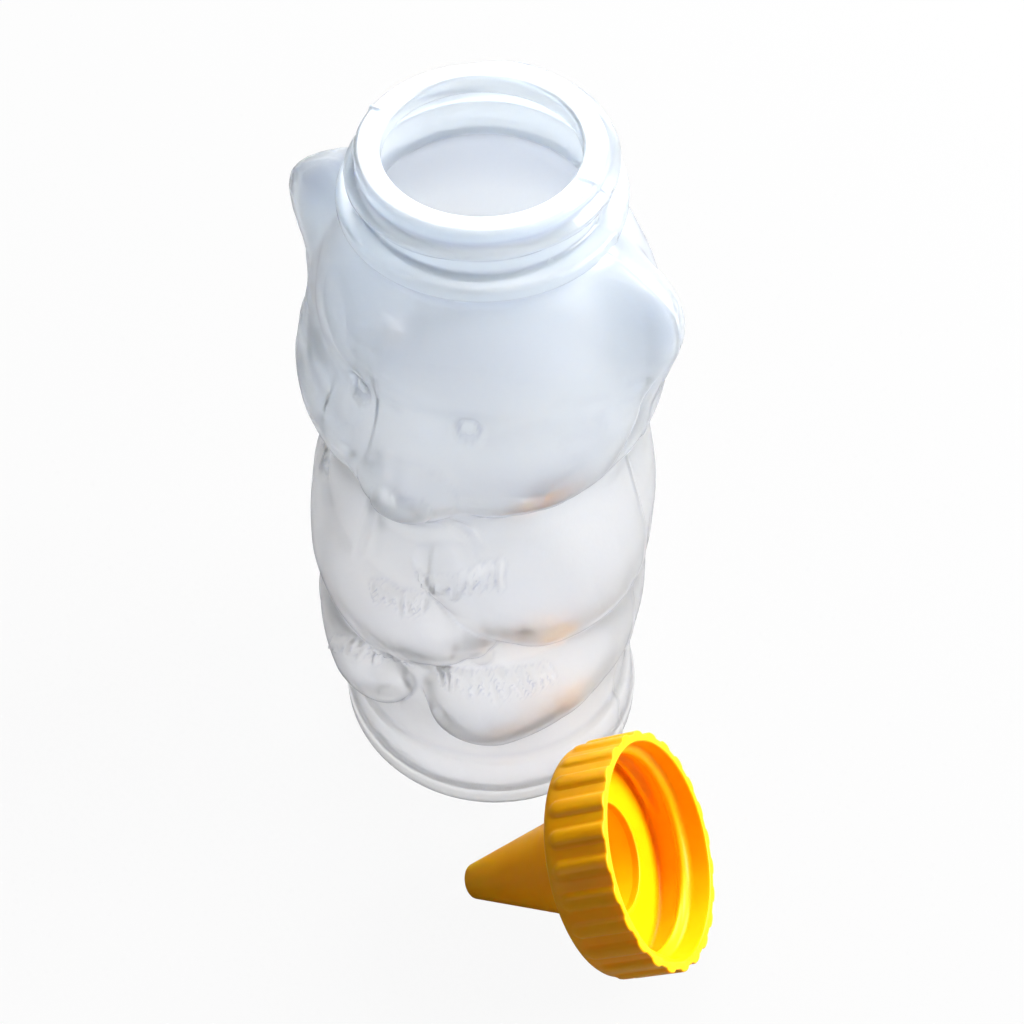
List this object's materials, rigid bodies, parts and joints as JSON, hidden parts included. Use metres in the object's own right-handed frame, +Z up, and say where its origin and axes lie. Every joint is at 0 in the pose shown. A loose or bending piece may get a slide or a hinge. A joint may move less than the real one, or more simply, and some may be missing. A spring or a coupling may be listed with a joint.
{
  "type": "bear-shaped squeeze bottle with its cone-tipped cap",
  "caption": "Empty, open honey squeeze bottle moulded as a sitting bear in milky plastic, with its yellow cone-tipped screw cap lying beside it.",
  "frame": {"origin": "centre of the bottle's foot, on the surface it stands on", "axes": "+Z up along the bottle's neck axis; the bear looks along -Y, so +X is its left side, where the cap lies"},
  "size_m": [0.0956, 0.0818, 0.1426],
  "materials": {
    "milky_polyethylene": "natural low-density polyethylene, blow moulded, milky and see-through at the walls, softly glossy",
    "yellow_polypropylene": "injection-moulded polypropylene in strong yellow, smooth, light glows through its walls"
  },
  "bodies": {
    "root": {"bottle": "milky_polyethylene", "cap": "yellow_polypropylene"}
  },
  "joints": []
}
